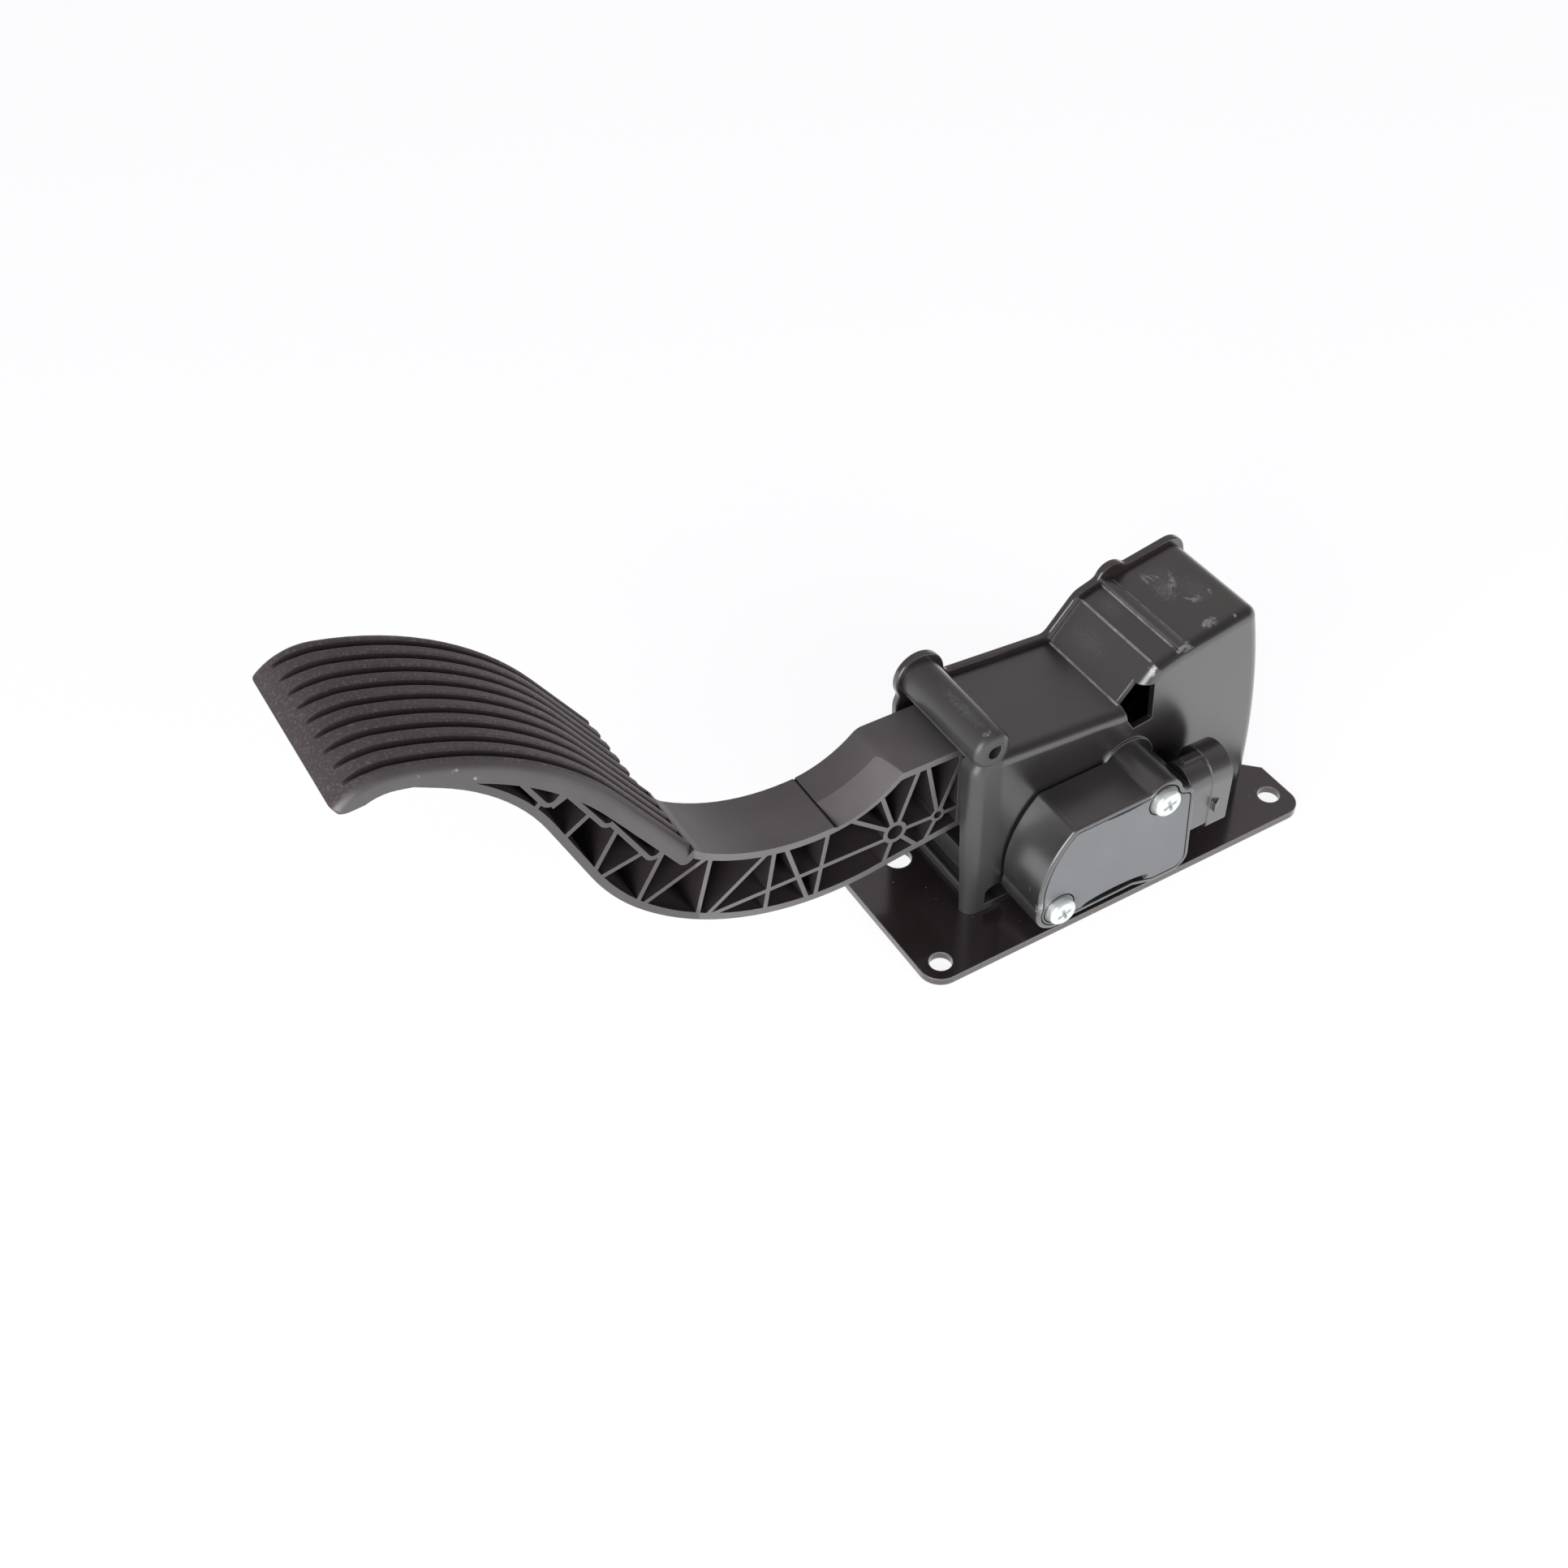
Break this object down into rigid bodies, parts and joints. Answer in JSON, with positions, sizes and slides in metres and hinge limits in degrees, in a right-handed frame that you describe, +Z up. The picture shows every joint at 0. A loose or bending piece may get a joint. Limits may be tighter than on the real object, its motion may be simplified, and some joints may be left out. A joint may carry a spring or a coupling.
{
  "type": "accelerator pedal",
  "caption": "Floor-mounted accelerator pedal: ribbed S-shaped arm with a grooved tread, sprung in a moulded housing on a folded steel bracket, with an angle sensor and plug socket.",
  "frame": {"origin": "centre of the front bolt hole on the near side of the plate, on the plate's underside", "axes": "+X along the plate from the tread toward the rear of the housing, +Y across the plate from the sensor side to the upright wall, +Z up out of the plate"},
  "size_m": [0.3515, 0.1092, 0.1625],
  "materials": {
    "black_steel": "gloss black coating on folded steel sheet",
    "black_moulding": "satin black glass-filled nylon, as moulded",
    "arm_moulding": "satin dark grey glass-filled nylon, fine grain on the tread",
    "ground_steel": "ground",
    "bearing_plastic": "natural acetal",
    "phosphated_steel": "dark phosphate",
    "spring_steel": "drawn wire, oiled",
    "stop_rubber": "moulded",
    "sensor_moulding": "satin black, as moulded",
    "cover_moulding": "satin black lid, as moulded",
    "magnet": "sintered ferrite",
    "board_laminate": "green lacquer on glass laminate",
    "terminal_brass": "tinned brass",
    "zinc_steel": "bright zinc plate"
  },
  "bodies": {
    "base": {"base_bracket": "black_steel", "housing": "black_moulding", "near_bush": "bearing_plastic", "far_bush": "bearing_plastic", "outer_return_spring": "spring_steel", "inner_return_spring": "spring_steel", "idle_stop": "stop_rubber", "full_stop": "stop_rubber", "sensor_body": "sensor_moulding", "sensor_cover": "cover_moulding", "sensor_seal": "stop_rubber", "circuit_board": "board_laminate", "connector_terminals": "terminal_brass", "sensor_screws": "zinc_steel", "housing_screws": "zinc_steel"},
    "pedal": {"pedal_arm": "arm_moulding", "pivot_shaft": "ground_steel", "shaft_clip": "phosphated_steel", "spring_seat": "bearing_plastic", "sensor_rotor": "bearing_plastic", "rotor_magnet": "magnet"}
  },
  "joints": [
    {"name": "pedal_hinge", "type": "hinge", "parent": "base", "child": "pedal", "pos_m": [0.065, 0.04015, 0.0315], "axis": [0, -1, 0], "range_deg": [0, 15], "stiffness_Nm_per_rad": 12, "springref_deg": -22.92, "deforming": ["outer_return_spring", "inner_return_spring"]}
  ]
}
